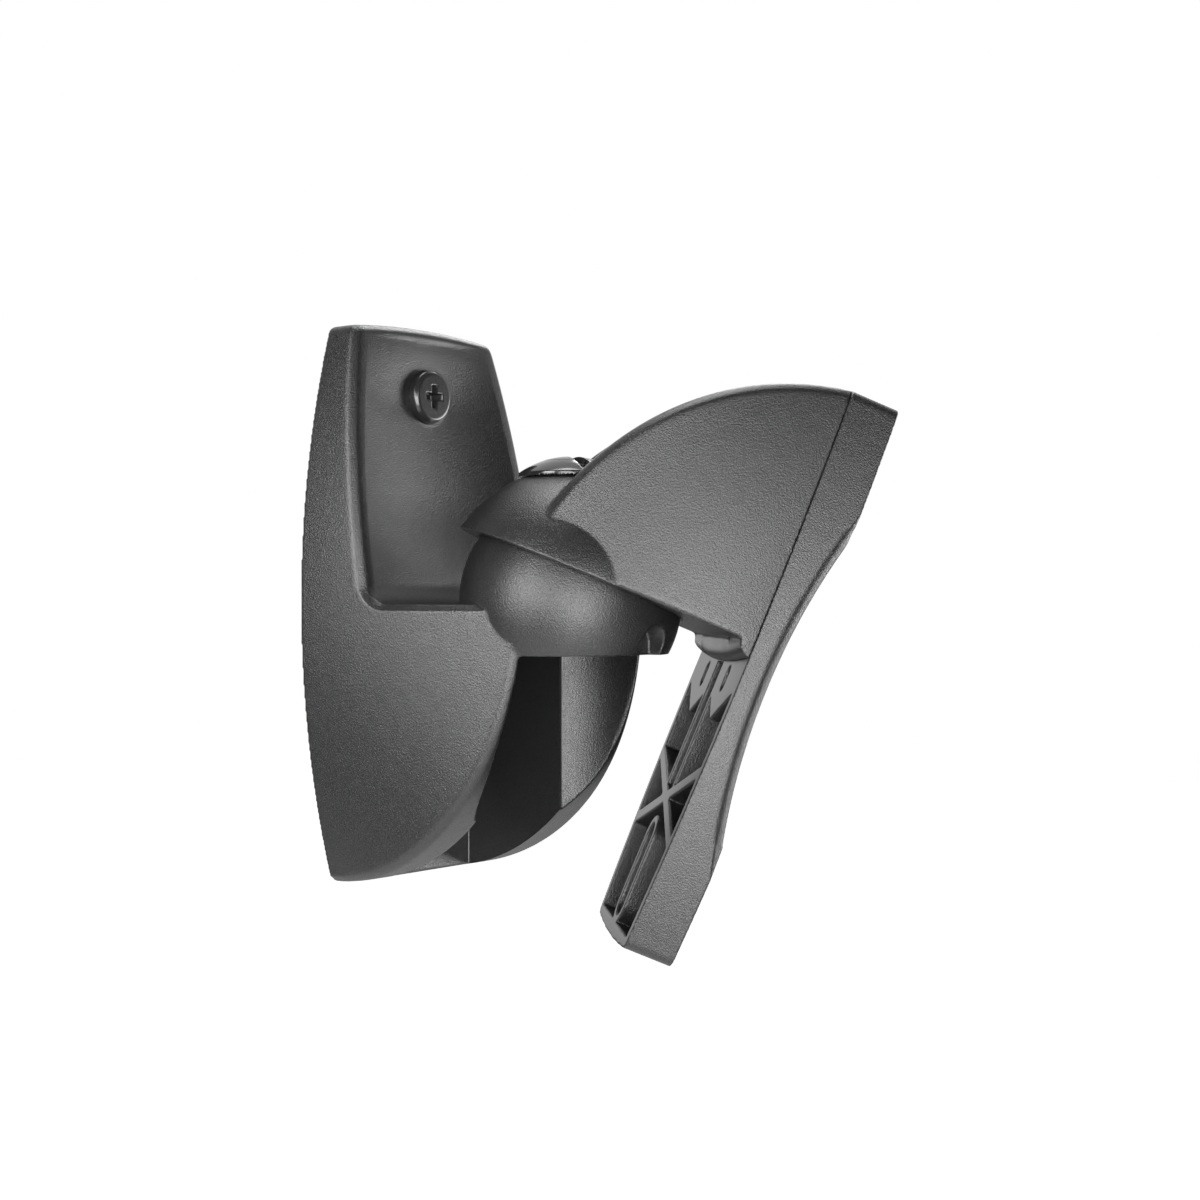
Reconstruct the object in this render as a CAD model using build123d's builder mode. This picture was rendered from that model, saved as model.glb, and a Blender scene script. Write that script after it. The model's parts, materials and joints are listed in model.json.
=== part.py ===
import os
from math import asin, cos, radians, sin, sqrt

from build123d import *

os.makedirs("parts", exist_ok=True)

# Pose of the speaker side: turned to the side and tipped down, in degrees
swivel = 44.2
tilt = 22.7
tilt_least = 0.0
tilt_most = 25.0

# Wall side moulding: a barrel-shaped plate that swells into a body under the ball
wall_half_height = 49.5
wall_half_width = 25.0
wall_half_end = 17.75
wall_waist_depth = 20.0
wall_waist_half_width = 22.5
wall_nose_half_width = 17.2
wall_depth = 43.3
ledge_level = -0.5
face_depth_top = 6.4
face_depth_ledge = 14.2
dish_rim = 2.6
dish_sag_top = 0.35
dish_sag_ledge = 2.8
dish_top_gap = 2.2
dish_draft = 0.1
dish_floor_round = 4.0
edge_bevel = 1.1
wall_top_bow = 1.0
end_trim = 0.1
corner_round = 2.0

# Shallow hollow in the back of the wall plate, with a boss round the screw
core_wall = 3.0
core_depth = 3.0
core_low = 7.0
core_boss_radius = 6.5
core_rib_width = 1.8

# Ball that the speaker side turns on
ball_reach = 40.0
ball_radius = 19.0
ball_flat_level = -9.0
ball_notch_width = 6.6
ball_notch_height = 5.0
ball_notch_depth = 2.6

# Open well under the ball and the cable slot behind it
well_radius = 16.4
slot_width = 22.4
slot_floor = 6.6

# Speaker side moulding and its dome
contact_reach = 36.4
arm_depth = 48.3
arm_half_height = 50.0
arm_half_width = 23.6
arm_half_end = 18.4
arm_waist_depth = 26.0
arm_waist_half_width = 23.0
arm_nose_half_width = 16.6
arm_ledge = 4.3
lip_thickness = 2.3
lip_drop = 3.7
lip_bow = 1.3
lip_root = 2.0
arm_shelf = 9.0
arm_back_wall = 3.0
arm_well_radius = 15.4
arm_slot_width = 24.0
dome_gap = 0.3
dome_wall = 3.3

# Speaker plate with a hollowed leg and a scalloped front
plate_thickness = 8.4
plate_half_height = 50.0
plate_front_half_width = 24.0
plate_front_half_end = 18.7
plate_end_bow = 0.8
plate_wall = 2.2
plate_floor = 1.8
hollow_top = 0.5
hollow_end_wall = 2.5
scallop_centre = 1.5
scallop_half_length = 26.5
scallop_sag = 3.4
scallop_bevel = 1.6
rib_width = 2.2
rib_cross_gap = 4.9
rib_slope = 17.0
speaker_slot_width = 5.2
speaker_slot_length = 17.0
speaker_slot_end_inset = 3.5
speaker_slot_wall = 1.4
channel_offset = 3.4
channel_wall = 1.2
web_outer_level = 3.0
web_tip_offset = 11.0
web_tip_level = 9.5
web_inner_level = 5.5
web_hole_offset = 10.5
web_hole_level = 2.2
web_hole_length = 4.6
web_hole_width = 2.6

# Clamp on the ball's upright axis: a keyed cap over the tilt slot, its screw and the nut
clamp_diameter = 5.0
clamp_hole_gap = 0.25
cap_radius = 8.9
cap_gap = 0.3
cap_side = 0.7
cap_top = 24.7
key_width = 7.6
key_length = 7.4
key_bottom = 20.2
key_top = 23.2
key_gap = 0.2
clamp_head_radius = 4.6
clamp_head_level = 23.95
clamp_head_rise = 0.9
clamp_seat_gap = 0.25
nut_across_flats = 8.0
nut_height = 4.0
nut_thread_gap = 0.05
nut_pocket_gap = 0.15
nut_inset = 0.5
clamp_end_inset = 0.3

# Pan-head screws
screw_head_radius = 4.8
screw_head_side = 2.6
screw_head_height = 3.2
screw_shank_radius = 2.3
screw_hole_gap = 0.25
screw_seat_gap = 0.15
wall_screw_upper_level = 37.0
wall_screw_upper_seat = 5.2
wall_screw_lower_level = -32.0
plate_screw_shank_radius = 1.75
plate_screw_head_radius = 3.4
plate_screw_head_side = 1.5
plate_screw_head_height = 2.3
plate_screw_bite = 5.0
plate_screw_pitch = 10.0
plate_screw_end_inset = 7.0

# Sizes that follow from the ones above
swivel_angle = radians(swivel)
tilt_angle = radians(tilt)
dome_inner_radius = ball_radius + dome_gap
dome_radius = dome_inner_radius + dome_wall
reach_span = wall_half_width + arm_half_height
ball_centre = Vector(0, -ball_reach, 0)
forward = Vector(
    sin(swivel_angle) * cos(tilt_angle),
    -cos(swivel_angle) * cos(tilt_angle),
    -sin(tilt_angle),
)
sideways = Vector(cos(swivel_angle), sin(swivel_angle), 0)
clamp_hole_radius = clamp_diameter / 2 + clamp_hole_gap
arm_slot_floor = plate_thickness + arm_back_wall
plate_screw_upper_level = plate_screw_end_inset - arm_half_height
plate_screw_lower_level = plate_screw_upper_level + plate_screw_pitch
hollow_bottom = plate_half_height - hollow_end_wall
speaker_slot_bottom = plate_half_height - speaker_slot_end_inset
speaker_slot_top = speaker_slot_bottom - speaker_slot_length
rib_cross_level = speaker_slot_top - rib_cross_gap
core_high = wall_half_height - core_wall
clamp_axis = Axis(ball_centre, (0, 0, 1))

# Both mouldings are drawn depth-outwards from the face they are fixed by.
# The speaker side stands on its head, so its body also lies below the middle line.
wall_frame = Plane(origin=(0, 0, 0), x_dir=(1, 0, 0), z_dir=(0, -1, 0))
arm_frame = Plane(
    origin=ball_centre + forward * contact_reach, x_dir=sideways, z_dir=forward * -1
)
clamp_plane = Plane(origin=ball_centre, x_dir=sideways, z_dir=(0, 0, 1))


def side_plane(frame):
    return Plane(origin=frame.origin, x_dir=frame.z_dir, z_dir=frame.x_dir * -1)


def plan_plane(frame, level):
    return Plane(
        origin=frame.origin + frame.y_dir * level,
        x_dir=frame.x_dir,
        z_dir=frame.y_dir * -1,
    )


def turned_plane(frame, level, depth):
    return Plane(
        origin=frame.origin + frame.y_dir * level + frame.z_dir * depth,
        x_dir=frame.x_dir,
        z_dir=frame.y_dir * -1,
    )


def barrel(frame, depth, half_middle, half_end, half_height):
    with BuildSketch(frame.offset(depth)) as section:
        with BuildLine():
            Line((-half_end, half_height), (half_end, half_height))
            ThreePointArc((half_end, half_height), (half_middle, 0), (half_end, -half_height))
            Line((half_end, -half_height), (-half_end, -half_height))
            ThreePointArc((-half_end, -half_height), (-half_middle, 0), (-half_end, half_height))
        make_face()
    return section.sketch


# Radius of a shallow crown over a round edge
def crown_radius(edge_radius, rise):
    return (edge_radius**2 + rise**2) / rise / 2


# Half outline of a pan-head screw, seat at zero, head upwards
def pan_outline(plane, head_radius, head_side, head_height, shank_radius, shank_length):
    with BuildSketch(plane) as outline:
        with BuildLine():
            Polyline(
                (0, head_height),
                (0, -shank_length),
                (shank_radius, -shank_length),
                (shank_radius, 0),
                (head_radius, 0),
                (head_radius, head_side),
                (head_radius + head_side - head_height, head_height),
                close=True,
            )
        make_face()
    return outline.sketch


# Depth of the wall plate's front rim at a given height
def face_depth(level):
    share = (level - ledge_level) / (wall_half_height - ledge_level)
    return face_depth_ledge + share * (face_depth_top - face_depth_ledge)


def dish_section(level, sag):
    rim_depth = face_depth(level)
    plate_half = wall_half_width - (wall_half_width - wall_half_end) * (level / wall_half_height) ** 2
    half_chord = plate_half - dish_rim - rim_depth * dish_draft
    with BuildSketch(plan_plane(wall_frame, level)) as section:
        with BuildLine():
            ThreePointArc((-half_chord, rim_depth), (0, rim_depth - sag), (half_chord, rim_depth))
            Polyline(
                (half_chord, rim_depth),
                (half_chord, wall_depth),
                (-half_chord, wall_depth),
                (-half_chord, rim_depth),
            )
        make_face()
    return section.sketch


# Space taken out of the wall plate's front
with BuildPart() as dish:
    dish_top = wall_half_height - dish_top_gap
    loft(
        [
            dish_section(ledge_level, dish_sag_ledge),
            dish_section((ledge_level + dish_top) / 2, (dish_sag_ledge + dish_sag_top) / 2),
            dish_section(dish_top, dish_sag_top),
        ]
    )
    dish_foot = dish.faces().sort_by(Axis.Z)[0].edges().sort_by(Axis.Y)[-1]
    fillet(dish_foot, dish_floor_round)

# Ball with a flat underside
with BuildPart() as ball:
    with Locations(ball_centre):
        Sphere(ball_radius)
    split(bisect_by=plan_plane(wall_frame, ball_flat_level), keep=Keep.BOTTOM)


# Picks the two short edges at the wall plate's upper corners
def on_wall_corner(edge):
    place = edge.center()
    return place.Z > core_high and abs(place.X) > wall_half_end - edge_bevel


# Picks the edges that run round the front of the wall plate, above the ledge
def on_front_rim(edge):
    place = edge.center()
    return place.Z > ledge_level + dish_floor_round and abs(place.Y + face_depth(place.Z)) < dish_rim


# Wall bracket: plate, body and ball in one moulding
with BuildPart() as wall_bracket:
    loft(
        [
            barrel(wall_frame, 0, wall_half_width, wall_half_end, wall_half_height),
            barrel(wall_frame, wall_waist_depth, wall_waist_half_width, wall_half_end, wall_half_height),
            barrel(wall_frame, wall_depth, wall_nose_half_width, wall_half_end, wall_half_height),
        ]
    )
    with BuildSketch(wall_frame) as wall_top:
        wall_bow_radius = crown_radius(wall_half_end, wall_top_bow)
        with Locations((0, wall_half_height - end_trim - wall_bow_radius)):
            Circle(wall_bow_radius)
    extrude(amount=wall_depth, mode=Mode.INTERSECT)
    with BuildSketch(side_plane(wall_frame).offset(-reach_span)) as wall_profile:
        with BuildLine():
            Line((0, ledge_level), (0, -wall_half_height))
            EllipticalCenterArc(
                (0, ledge_level), wall_depth, wall_half_height + ledge_level, start_angle=270, arc_size=90
            )
            Line((wall_depth, ledge_level), (0, ledge_level))
        make_face()
        with BuildLine():
            Polyline(
                (0, ledge_level),
                (face_depth_ledge, ledge_level),
                (face_depth_top, wall_half_height),
                (0, wall_half_height),
                close=True,
            )
        make_face()
        ledge_corner = wall_profile.vertices().sort_by_distance((face_depth_ledge, ledge_level))[0]
        fillet(ledge_corner, dish_floor_round)
    extrude(amount=reach_span * 2, mode=Mode.INTERSECT)
    cheek_edges = wall_bracket.edges().filter_by(lambda edge: edge.center().Y < -wall_waist_depth)
    cheek_edges = cheek_edges.filter_by(lambda edge: edge.length > wall_depth)
    chamfer(cheek_edges, edge_bevel)
    fillet(wall_bracket.edges().filter_by(lambda edge: on_wall_corner(edge)), corner_round)
    chamfer(wall_bracket.edges().filter_by(lambda edge: on_front_rim(edge)), edge_bevel)
    add(dish.part, mode=Mode.SUBTRACT)
    with BuildSketch(plan_plane(wall_frame, ball_flat_level)) as wall_well:
        with Locations((0, ball_reach)):
            Circle(well_radius)
        with Locations((0, slot_floor)):
            Rectangle(slot_width, ball_reach - slot_floor, align=(Align.CENTER, Align.MIN))
    extrude(amount=wall_half_height, mode=Mode.SUBTRACT)
    add(ball.part)
    notch_depth = ball_reach + sqrt(ball_radius**2 - ball_flat_level**2) - ball_notch_depth
    with BuildSketch(wall_frame.offset(notch_depth)) as ball_notch:
        with Locations((0, ball_flat_level)):
            Rectangle(
                ball_notch_width, ball_notch_height - ball_notch_width / 2, align=(Align.CENTER, Align.MIN)
            )
        with Locations((0, ball_flat_level + ball_notch_height - ball_notch_width / 2)):
            Circle(ball_notch_width / 2)
    extrude(amount=ball_radius, mode=Mode.SUBTRACT)
    with BuildSketch(clamp_plane.offset(-ball_radius)) as clamp_bore:
        Circle(clamp_hole_radius)
    extrude(amount=ball_radius * 2, mode=Mode.SUBTRACT)
    with BuildSketch(clamp_plane.offset(ball_flat_level)) as nut_pocket:
        RegularPolygon(nut_across_flats / 2 + nut_pocket_gap, 6, major_radius=False)
    extrude(amount=nut_inset + nut_height, mode=Mode.SUBTRACT)
    with BuildSketch(wall_frame) as core:
        add(barrel(Plane.XY, 0, wall_half_width, wall_half_end, wall_half_height))
        offset(amount=-core_wall, kind=Kind.INTERSECTION, mode=Mode.REPLACE)
        with Locations((0, core_low)):
            Rectangle(
                wall_half_width * 2,
                wall_half_height + core_low,
                align=(Align.CENTER, Align.MAX),
                mode=Mode.SUBTRACT,
            )
        Rectangle(core_rib_width, wall_half_height * 2, mode=Mode.SUBTRACT)
        with Locations((0, wall_screw_upper_level)):
            Circle(core_boss_radius, mode=Mode.SUBTRACT)
            Rectangle(wall_half_width * 2, core_rib_width, mode=Mode.SUBTRACT)
    extrude(amount=core_depth, mode=Mode.SUBTRACT)
    with BuildSketch(wall_frame) as wall_holes:
        with Locations((0, wall_screw_upper_level), (0, wall_screw_lower_level)):
            Circle(screw_shank_radius + screw_hole_gap)
    extrude(amount=wall_depth, mode=Mode.SUBTRACT)
    with BuildSketch(wall_frame.offset(wall_screw_upper_seat)) as wall_seat:
        with Locations((0, wall_screw_upper_level)):
            Circle(screw_head_radius + screw_seat_gap)
    extrude(amount=wall_depth, mode=Mode.SUBTRACT)
wall_bracket.part.label = "wall_bracket"
export_step(wall_bracket.part, "parts/wall_bracket.step")

# Dome that sits over the ball, cut level with the arm's underside
with BuildPart() as dome:
    with Locations(ball_centre):
        Sphere(dome_radius)
    split(bisect_by=plan_plane(arm_frame, -arm_ledge), keep=Keep.TOP)


def arm_sections():
    return [
        barrel(arm_frame, plate_thickness, arm_half_width, arm_half_end, arm_half_height),
        barrel(arm_frame, arm_waist_depth, arm_waist_half_width, arm_half_end, arm_half_height),
        barrel(arm_frame, arm_depth, arm_nose_half_width, arm_half_end, arm_half_height),
    ]


# Rounded lip along the arm's foot, bowed like the ends of the speaker plate
with BuildPart() as lip:
    loft(arm_sections())
    lip_low = lip_drop - arm_ledge
    lip_face = plate_thickness + lip_thickness
    with BuildSketch(side_plane(arm_frame)) as lip_profile:
        with BuildLine():
            Polyline(
                (plate_thickness, lip_low),
                (plate_thickness, -arm_ledge - lip_root),
                (lip_face, -arm_ledge - lip_root),
                (lip_face, lip_low - lip_thickness),
            )
            CenterArc((plate_thickness, lip_low - lip_thickness), lip_thickness, 0, 90)
        make_face()
    bow_centre = arm_frame.origin + arm_frame.y_dir * (lip_low - crown_radius(arm_half_width, lip_bow))
    revolve(axis=Axis(bow_centre, arm_frame.z_dir), mode=Mode.INTERSECT)

# Speaker arm: body, lip and dome in one moulding
with BuildPart() as speaker_arm:
    loft(arm_sections())
    with BuildSketch(side_plane(arm_frame).offset(-reach_span)) as arm_profile:
        with BuildLine():
            Line((0, 0), (0, -arm_half_height))
            EllipticalCenterArc((0, 0), arm_depth, arm_half_height, start_angle=270, arc_size=90)
            Line((arm_depth, 0), (0, 0))
        make_face()
        Rectangle(plate_thickness, arm_half_height, align=(Align.MIN, Align.MAX), mode=Mode.SUBTRACT)
        Rectangle(arm_depth, arm_ledge, align=(Align.MIN, Align.MAX), mode=Mode.SUBTRACT)
    extrude(amount=reach_span * 2, mode=Mode.INTERSECT)
    arm_cheeks = speaker_arm.edges().filter_by(lambda edge: edge.length > arm_depth)
    arm_cheeks = arm_cheeks.filter_by(
        lambda edge: arm_frame.to_local_coords(edge.center()).Z > plate_thickness + arm_back_wall
    )
    chamfer(arm_cheeks, edge_bevel)
    add(lip.part)
    with BuildSketch(plan_plane(arm_frame, -arm_ledge - arm_shelf)) as arm_well:
        with Locations((0, contact_reach)):
            Circle(arm_well_radius)
        with Locations((0, arm_slot_floor)):
            Rectangle(arm_slot_width, contact_reach - arm_slot_floor, align=(Align.CENTER, Align.MIN))
    extrude(amount=arm_half_height, mode=Mode.SUBTRACT)
    add(dome.part)
    with Locations(ball_centre):
        Sphere(dome_inner_radius, mode=Mode.SUBTRACT)
    key_half_angle = asin((key_length / 2 + key_gap) / dome_inner_radius)
    slot_start = radians(tilt_least) - key_half_angle
    slot_end = radians(tilt_most) + key_half_angle
    with BuildSketch(side_plane(arm_frame)) as tilt_slot:
        with BuildLine():
            Polyline(
                (contact_reach, 0),
                (contact_reach + sin(slot_start) * arm_depth, -cos(slot_start) * arm_depth),
                (contact_reach + sin(slot_end) * arm_depth, -cos(slot_end) * arm_depth),
                close=True,
            )
        make_face()
    extrude(amount=key_width / 2 + key_gap, both=True, mode=Mode.SUBTRACT)
    with BuildSketch(arm_frame) as arm_holes:
        with Locations((0, plate_screw_lower_level), (0, plate_screw_upper_level)):
            Circle(plate_screw_shank_radius + screw_hole_gap)
    extrude(amount=arm_depth, mode=Mode.SUBTRACT)
speaker_arm.part.label = "speaker_arm"
export_step(speaker_arm.part, "parts/speaker_arm.step")

# Space taken out of the leg's back, with the ribs left standing
slot_length = speaker_slot_bottom - speaker_slot_top
slot_middle = (speaker_slot_bottom + speaker_slot_top) / 2
with BuildPart() as hollow:
    with BuildSketch(arm_frame) as hollow_outline:
        add(barrel(Plane.XY, 0, arm_half_width, arm_half_end, plate_half_height))
        offset(amount=-plate_wall, kind=Kind.INTERSECTION, mode=Mode.REPLACE)
        with Locations((0, hollow_bottom)):
            Rectangle(
                plate_front_half_width * 2,
                hollow_bottom + hollow_top,
                align=(Align.CENTER, Align.MAX),
                mode=Mode.INTERSECT,
            )
        with Locations((0, slot_middle)):
            SlotOverall(
                slot_length + speaker_slot_wall * 2,
                speaker_slot_width + speaker_slot_wall * 2,
                rotation=90,
                mode=Mode.SUBTRACT,
            )
        with Locations((-channel_offset, -hollow_top), (channel_offset, -hollow_top)):
            Rectangle(
                channel_wall,
                rib_cross_level + hollow_top,
                align=(Align.CENTER, Align.MIN),
                mode=Mode.SUBTRACT,
            )
        with Locations((0, rib_cross_level)):
            Rectangle(plate_front_half_width * 2, rib_width, rotation=rib_slope, mode=Mode.SUBTRACT)
            Rectangle(plate_front_half_width * 2, rib_width, rotation=-rib_slope, mode=Mode.SUBTRACT)
        for side in (-1, 1):
            with BuildLine():
                Polyline(
                    (side * channel_offset, -hollow_top),
                    (side * plate_front_half_width, -hollow_top),
                    (side * plate_front_half_width, web_outer_level),
                    (side * web_tip_offset, web_tip_level),
                    (side * channel_offset, web_inner_level),
                    close=True,
                )
            make_face(mode=Mode.SUBTRACT)
        with Locations((-web_hole_offset, web_hole_level), (web_hole_offset, web_hole_level)):
            SlotOverall(web_hole_length, web_hole_width, rotation=90)
    extrude(amount=plate_thickness * 2)
    with BuildSketch(side_plane(arm_frame).offset(-reach_span)) as floor_profile:
        with BuildLine():
            ThreePointArc(
                (plate_floor, scallop_centre + scallop_half_length),
                (plate_floor + scallop_sag, scallop_centre),
                (plate_floor, scallop_centre - scallop_half_length),
            )
            Polyline(
                (plate_floor, scallop_centre - scallop_half_length),
                (plate_thickness * 2, scallop_centre - scallop_half_length),
                (plate_thickness * 2, plate_half_height),
                (plate_floor, plate_half_height),
                (plate_floor, scallop_centre + scallop_half_length),
            )
        make_face()
    extrude(amount=reach_span * 2, mode=Mode.INTERSECT)


# Picks the four short edges at the speaker plate's corners
def on_plate_corner(edge):
    place = arm_frame.to_local_coords(edge.center())
    at_end = abs(abs(place.Y) - plate_half_height) < plate_floor
    return at_end and abs(place.X) > arm_half_end - plate_floor


# Picks the two long side edges of the scallop
def on_scallop_side(edge):
    place = arm_frame.to_local_coords(edge.center())
    middle = abs(place.Y - scallop_centre) < scallop_half_length / 2
    return middle and place.Z < scallop_sag + plate_floor and abs(place.X) > arm_half_end


# Speaker plate: solid behind the arm, hollow and ribbed in the leg below it
with BuildPart() as speaker_plate:
    loft(
        [
            barrel(arm_frame, 0, plate_front_half_width, plate_front_half_end, plate_half_height),
            barrel(arm_frame, plate_thickness, arm_half_width, arm_half_end, plate_half_height),
        ]
    )
    with BuildSketch(arm_frame) as plate_ends:
        plate_bow_radius = crown_radius(plate_front_half_end, plate_end_bow)
        with Locations((0, plate_half_height - end_trim - plate_bow_radius)):
            Circle(plate_bow_radius)
        with Locations((0, plate_bow_radius + end_trim - plate_half_height)):
            Circle(plate_bow_radius, mode=Mode.INTERSECT)
    extrude(amount=plate_thickness, mode=Mode.INTERSECT)
    with BuildSketch(side_plane(arm_frame).offset(-reach_span)) as scallop:
        with BuildLine():
            ThreePointArc(
                (0, scallop_centre - scallop_half_length),
                (scallop_sag, scallop_centre),
                (0, scallop_centre + scallop_half_length),
            )
            Line((0, scallop_centre + scallop_half_length), (0, scallop_centre - scallop_half_length))
        make_face()
    extrude(amount=reach_span * 2, mode=Mode.SUBTRACT)
    fillet(speaker_plate.edges().filter_by(lambda edge: on_plate_corner(edge)), corner_round)
    chamfer(speaker_plate.edges().filter_by(lambda edge: on_scallop_side(edge)), scallop_bevel)
    add(hollow.part, mode=Mode.SUBTRACT)
    with BuildSketch(arm_frame) as speaker_slot:
        with Locations((0, slot_middle)):
            SlotOverall(slot_length, speaker_slot_width, rotation=90)
    extrude(amount=plate_thickness, mode=Mode.SUBTRACT)
    with BuildSketch(arm_frame.offset(plate_thickness)) as pilot_holes:
        with Locations((0, plate_screw_lower_level), (0, plate_screw_upper_level)):
            Circle(plate_screw_shank_radius + nut_thread_gap)
    extrude(amount=-plate_screw_bite - screw_hole_gap, mode=Mode.SUBTRACT)
speaker_plate.part.label = "speaker_plate"
export_step(speaker_plate.part, "parts/speaker_plate.step")

# Domed cap over the tilt slot: hollow underside that follows the dome, key below it
cap_hollow_radius = dome_radius + cap_gap
cap_rim_level = sqrt(cap_hollow_radius**2 - cap_radius**2)
clamp_profile_plane = Plane(origin=ball_centre, x_dir=sideways, z_dir=clamp_plane.y_dir * -1)
cap_rise = cap_top - cap_rim_level - cap_side
seat_outer = clamp_head_radius + clamp_seat_gap
with BuildPart() as saddle_cap:
    with BuildSketch(clamp_profile_plane) as cap_outline:
        with BuildLine():
            Line((0, cap_top), (0, cap_hollow_radius))
            RadiusArc((0, cap_hollow_radius), (cap_radius, cap_rim_level), cap_hollow_radius)
            Line((cap_radius, cap_rim_level), (cap_radius, cap_rim_level + cap_side))
            cap_crown = crown_radius(cap_radius, cap_rise)
            RadiusArc((cap_radius, cap_rim_level + cap_side), (0, cap_top), -cap_crown)
        make_face()
    revolve(axis=clamp_axis)
    with BuildSketch(clamp_plane.offset(key_bottom)) as cap_key:
        Rectangle(key_width, key_length)
    extrude(amount=key_top - key_bottom)
    with BuildSketch(clamp_profile_plane) as cap_bore:
        with BuildLine():
            Polyline(
                (0, key_bottom),
                (clamp_hole_radius, key_bottom),
                (clamp_hole_radius, clamp_head_level - seat_outer + clamp_hole_radius),
                (seat_outer, clamp_head_level),
                (seat_outer, cap_top),
                (0, cap_top),
                close=True,
            )
        make_face()
    revolve(axis=clamp_axis, mode=Mode.SUBTRACT)
saddle_cap.part.label = "saddle_cap"
export_step(saddle_cap.part, "parts/saddle_cap.step")

# Clamp screw: raised countersunk head, shank down to the nut under the ball
with BuildPart() as clamp_screw:
    shank_radius = clamp_diameter / 2
    with BuildSketch(clamp_profile_plane) as clamp_outline:
        with BuildLine():
            Polyline(
                (0, clamp_head_level + clamp_head_rise),
                (0, ball_flat_level + clamp_end_inset),
                (shank_radius, ball_flat_level + clamp_end_inset),
                (shank_radius, clamp_head_level - clamp_head_radius + shank_radius),
                (clamp_head_radius, clamp_head_level),
                (clamp_head_radius - clamp_head_rise, clamp_head_level + clamp_head_rise),
                close=True,
            )
        make_face()
    revolve(axis=clamp_axis)
clamp_screw.part.label = "clamp_screw"
export_step(clamp_screw.part, "parts/clamp_screw.step")

# Hexagon nut in the ball's underside
with BuildPart() as clamp_nut:
    with BuildSketch(clamp_plane.offset(ball_flat_level + nut_inset)) as nut_outline:
        RegularPolygon(nut_across_flats / 2, 6, major_radius=False)
        Circle(clamp_diameter / 2 + nut_thread_gap, mode=Mode.SUBTRACT)
    extrude(amount=nut_height)
clamp_nut.part.label = "clamp_nut"
export_step(clamp_nut.part, "parts/clamp_nut.step")

# Two pan-head screws hold the bracket to the wall
upper_seat = turned_plane(wall_frame, wall_screw_upper_level, wall_screw_upper_seat)
lower_seat = turned_plane(wall_frame, wall_screw_lower_level, slot_floor)
with BuildPart() as wall_screw_upper:
    revolve(
        pan_outline(
            upper_seat,
            screw_head_radius,
            screw_head_side,
            screw_head_height,
            screw_shank_radius,
            wall_screw_upper_seat,
        ),
        axis=Axis(upper_seat.origin, wall_frame.z_dir),
    )
wall_screw_upper.part.label = "wall_screw_upper"
export_step(wall_screw_upper.part, "parts/wall_screw_upper.step")

with BuildPart() as wall_screw_lower:
    revolve(
        pan_outline(
            lower_seat, screw_head_radius, screw_head_side, screw_head_height, screw_shank_radius, slot_floor
        ),
        axis=Axis(lower_seat.origin, wall_frame.z_dir),
    )
wall_screw_lower.part.label = "wall_screw_lower"
export_step(wall_screw_lower.part, "parts/wall_screw_lower.step")

# Two smaller screws hold the arm to the speaker plate
near_seat = turned_plane(arm_frame, plate_screw_lower_level, arm_slot_floor)
far_seat = turned_plane(arm_frame, plate_screw_upper_level, arm_slot_floor)
with BuildPart() as plate_screw_lower:
    revolve(
        pan_outline(
            near_seat,
            plate_screw_head_radius,
            plate_screw_head_side,
            plate_screw_head_height,
            plate_screw_shank_radius,
            arm_back_wall + plate_screw_bite,
        ),
        axis=Axis(near_seat.origin, arm_frame.z_dir),
    )
plate_screw_lower.part.label = "plate_screw_lower"
export_step(plate_screw_lower.part, "parts/plate_screw_lower.step")

with BuildPart() as plate_screw_upper:
    revolve(
        pan_outline(
            far_seat,
            plate_screw_head_radius,
            plate_screw_head_side,
            plate_screw_head_height,
            plate_screw_shank_radius,
            arm_back_wall + plate_screw_bite,
        ),
        axis=Axis(far_seat.origin, arm_frame.z_dir),
    )
plate_screw_upper.part.label = "plate_screw_upper"
export_step(plate_screw_upper.part, "parts/plate_screw_upper.step")
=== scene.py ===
import json
import math
import bpy
import numpy as np
from mathutils import Matrix, Vector

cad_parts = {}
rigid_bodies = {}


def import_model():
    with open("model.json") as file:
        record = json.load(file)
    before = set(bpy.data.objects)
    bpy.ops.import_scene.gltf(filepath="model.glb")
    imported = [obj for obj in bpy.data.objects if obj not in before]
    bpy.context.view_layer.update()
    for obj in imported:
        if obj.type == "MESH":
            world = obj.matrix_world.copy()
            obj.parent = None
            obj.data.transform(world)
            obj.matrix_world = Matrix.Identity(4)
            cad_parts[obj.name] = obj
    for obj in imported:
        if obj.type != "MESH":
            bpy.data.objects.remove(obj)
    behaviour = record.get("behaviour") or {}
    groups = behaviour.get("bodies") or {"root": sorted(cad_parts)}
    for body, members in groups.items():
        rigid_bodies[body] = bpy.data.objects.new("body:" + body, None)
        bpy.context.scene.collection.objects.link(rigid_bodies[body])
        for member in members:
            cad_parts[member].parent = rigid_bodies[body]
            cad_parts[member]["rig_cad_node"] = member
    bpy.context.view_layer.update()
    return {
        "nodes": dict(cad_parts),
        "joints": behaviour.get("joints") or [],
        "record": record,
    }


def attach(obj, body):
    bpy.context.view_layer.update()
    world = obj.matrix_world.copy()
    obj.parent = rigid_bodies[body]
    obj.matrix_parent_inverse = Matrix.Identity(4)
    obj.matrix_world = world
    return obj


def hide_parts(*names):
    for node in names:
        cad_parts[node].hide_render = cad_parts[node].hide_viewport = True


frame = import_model()
scene = bpy.context.scene
meshSettings = {"mergeGap": 1e-5, "sharpAngle": 50}
white = (1, 1, 1, 1)
print("stage: frame loaded")

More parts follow.
